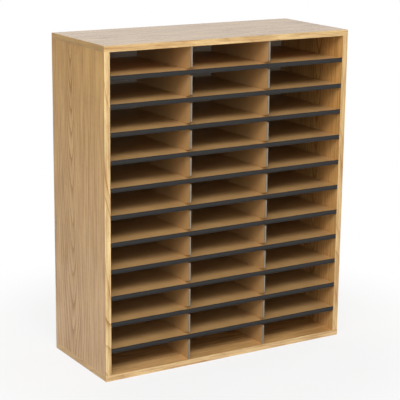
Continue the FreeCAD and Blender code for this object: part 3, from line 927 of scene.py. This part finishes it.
@dataclass
class Compartments(SubAssembly):
    """The draw-out shelves with their mouldings, and the dividers with their trims."""

    def build(self) -> None:
        """Dresses the shelves, mouldings, dividers and trims."""
        names = sorted(self.nodes)
        mouldings = [name for name in names if name.startswith("shelf_moulding_")]
        shelves = [name for name in names if name.startswith("shelf_") and name not in mouldings]
        trims = [name for name in names if name.endswith("_trims")]
        dividers = [name for name in names if name.startswith("divider_") and name not in trims]
        self.dress(shelves, Fibreboard("sealed_fibreboard_shelf", through=2).build())
        upright = Fibreboard("sealed_fibreboard_divider", through=0, tones=Tones("#C69E6A", "#AA8150"))
        self.dress(dividers, upright.build())
        black = ExtrudedPlastic("extruded_black_plastic", Tones("#181716", "#2B2928"), along=0, index=1.45)
        self.dress(mouldings, black.build())
        grey = ExtrudedPlastic("extruded_grey_plastic", Tones("#928777", "#756B5C"), along=2)
        self.dress(trims, grey.build())


def look_from(
    target: Vector, azimuth_deg: float, elevation_deg: float, distance: float, roll_deg: float = 0.0
) -> Matrix:
    """Places a camera or a lamp so that it faces a point.

    Args:
        target: the point.
        azimuth_deg: 0 looks along +Y, and grows as the viewer moves to the right.
        elevation_deg: how far the viewer stands above the point's level.
        distance: from the point, in metres.
        roll_deg: how far the viewer's right hand is turned up.

    Returns:
        The viewer's place, with -Z towards the point.
    """
    azimuth, elevation, roll = (math.radians(angle) for angle in (azimuth_deg, elevation_deg, roll_deg))
    back = Vector(
        (
            math.sin(azimuth) * math.cos(elevation),
            -math.cos(azimuth) * math.cos(elevation),
            math.sin(elevation),
        )
    )
    right = Vector((0.0, 0.0, 1.0)).cross(back).normalized()
    up = back.cross(right)
    turned_right = right * math.cos(roll) + up * math.sin(roll)
    turned_up = up * math.cos(roll) - right * math.sin(roll)
    turn = Matrix((turned_right, turned_up, back)).transposed().to_4x4()
    return Matrix.Translation(target + back * distance) @ turn


@dataclass(frozen=True)
class SoftBox:
    """One rectangular studio lamp, aimed at a point. Its distance and sides are in metres.

    Gloss mirrors the white surroundings and not the lamp, whose image would burn out the top board in some
    views.
    """

    name: str
    azimuth_deg: float
    elevation_deg: float
    distance: float
    width: float
    height: float
    watts: float

    def build(self, target: Vector) -> None:
        """Makes the lamp.

        Args:
            target: the point that it faces.
        """
        data = bpy.data.lights.new(self.name, "AREA")
        data.shape = "RECTANGLE"
        data.size = self.width
        data.size_y = self.height
        data.energy = self.watts
        lamp = bpy.data.objects.new(self.name, data)
        lamp.visible_glossy = False
        lamp.matrix_world = look_from(target, self.azimuth_deg, self.elevation_deg, self.distance)
        bpy.context.scene.collection.objects.link(lamp)


@dataclass
class Studio:
    """The pale floor, the soft lamps, the white surroundings and the camera. Distances are in metres.

    Attributes:
        floor_white: how far the floor near the sorter is turned to white where it is seen.
        white_from: how far from the middle the floor's shadow starts to fade.
        white_to: how far off the floor is white throughout.
        dome_low: how brightly the surroundings light the sorter from its own level and below.
        dome_high: how brightly they do from above.
        dome_rise: how high on the dome, whose top is 1, it is as dim as at the top.
    """

    target: Vector = field(default_factory=lambda: Vector((0.0, 0.0032, 0.4101)))
    view_azimuth_deg: float = -31.438
    view_elevation_deg: float = 14.072
    view_roll_deg: float = 0.63
    view_distance: float = 3.765
    lens_mm: float = 122.89
    floor_half: float = 40.0
    paper: Tones = Tones("#E6E5E3", "#DBDAD8")
    paper_speckle: Mottle = Mottle((6.0, 6.0, 6.0), 2.0)
    speckle_weight: float = 0.2
    paper_roughness: float = 0.9
    floor_white: float = 0.8
    white_from: float = 0.45
    white_to: float = 0.95
    dome_low: float = 0.5
    dome_high: float = 0.05
    dome_rise: float = 0.5
    lamps: tuple[SoftBox, ...] = (
        SoftBox("key_softbox", -24.0, 42.0, 5.0, 2.6, 1.9, 146.0),
        SoftBox("side_softbox", -60.0, 20.0, 5.0, 2.6, 1.9, 84.0),
        SoftBox("front_softbox", -32.0, 7.0, 5.0, 2.0, 0.8, 12.0),
        SoftBox("back_softbox", 180.0, 28.0, 5.0, 3.2, 2.2, 80.0),
        SoftBox("right_softbox", 104.0, 22.0, 5.0, 2.6, 1.9, 84.0),
    )

    def build(self) -> None:
        """Builds the whole studio."""
        self.build_floor()
        self.build_world()
        for lamp in self.lamps:
            lamp.build(self.target)
        self.build_camera()
        bpy.context.scene.view_settings.view_transform = "Standard"

    def build_floor(self) -> None:
        """Makes the floor: seen, it is nearly white with the sorter's shadow on it, and white further off."""
        shape = bmesh.new()
        bmesh.ops.create_grid(shape, x_segments=1, y_segments=1, size=self.floor_half)
        mesh = bpy.data.meshes.new("studio_floor")
        shape.to_mesh(mesh)
        shape.free()
        mesh.materials.append(self.floor_paper())
        floor = bpy.data.objects.new("studio_floor", mesh)
        bpy.context.scene.collection.objects.link(floor)

    def floor_paper(self) -> bpy.types.Material:
        """Builds the floor's material: backdrop paper that turns white where it is seen.

        Returns:
            The finished material.
        """
        graph = Graph("studio_floor_paper")
        speckle = self.paper_speckle.draw(graph, graph.millimetres())
        colour = self.paper.blend(graph, graph.total([(speckle, self.speckle_weight)]))
        graph.finish(colour, self.paper_roughness)
        paper = graph.output.inputs["Surface"].links[0].from_socket
        white = graph.add("Emission", {"Color": WHITE, "Strength": 1.0}).outputs[0]
        place = graph.add("TexCoord").outputs["Object"]
        flat = graph.add("VectorMath", {0: place, 1: (1.0, 1.0, 0.0)}, operation="MULTIPLY").outputs[0]
        away = graph.add("VectorMath", {0: flat}, operation="LENGTH").outputs["Value"]
        limits: Inputs = {0: away, 1: self.white_from, 2: self.white_to, 3: self.floor_white, 4: 1.0}
        fade = graph.add("MapRange", limits, interpolation_type="SMOOTHSTEP").outputs[0]
        share = graph.add("Math", {0: fade, 1: graph.seen()}, operation="MULTIPLY").outputs[0]
        shader = graph.add("MixShader", {0: share, 1: paper, 2: white}).outputs[0]
        graph.tree.links.new(shader, graph.output.inputs["Surface"])
        return graph.owner

    def build_world(self) -> None:
        """Makes the surroundings: white where they are seen, and a dimmer dome as a light on the sorter."""
        graph = Graph("studio_surroundings", world=True)
        way = graph.add("SeparateXYZ", {0: graph.add("TexCoord").outputs["Generated"]}).outputs[2]
        limits: Inputs = {0: way, 1: 0.0, 2: self.dome_rise, 3: self.dome_low, 4: self.dome_high}
        dome = graph.add("MapRange", limits).outputs[0]
        unseen = graph.add("Math", {0: 1.0, 1: graph.seen()}, operation="SUBTRACT").outputs[0]
        less = graph.add("Math", {0: dome, 1: 1.0}, operation="SUBTRACT").outputs[0]
        strength = graph.add("Math", {0: less, 1: unseen, 2: 1.0}, operation="MULTIPLY_ADD").outputs[0]
        white = graph.add("Background", {"Color": WHITE, "Strength": strength}).outputs[0]
        graph.tree.links.new(white, graph.output.inputs["Surface"])
        bpy.context.scene.world = graph.owner

    def build_camera(self) -> None:
        """Makes the camera and takes it as the scene's."""
        data = bpy.data.cameras.new("camera")
        data.lens = self.lens_mm
        camera = bpy.data.objects.new("camera", data)
        camera.matrix_world = look_from(
            self.target,
            self.view_azimuth_deg,
            self.view_elevation_deg,
            self.view_distance,
            self.view_roll_deg,
        )
        bpy.context.scene.collection.objects.link(camera)
        bpy.context.scene.camera = camera


def main() -> None:
    """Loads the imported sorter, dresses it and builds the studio."""
    logging.basicConfig(level=logging.INFO, format="%(name)s: %(message)s")
    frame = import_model()
    Studio().build()
    Casing(frame["nodes"]).build()
    Compartments(frame["nodes"]).build()


if __name__ == "__main__":
    main()
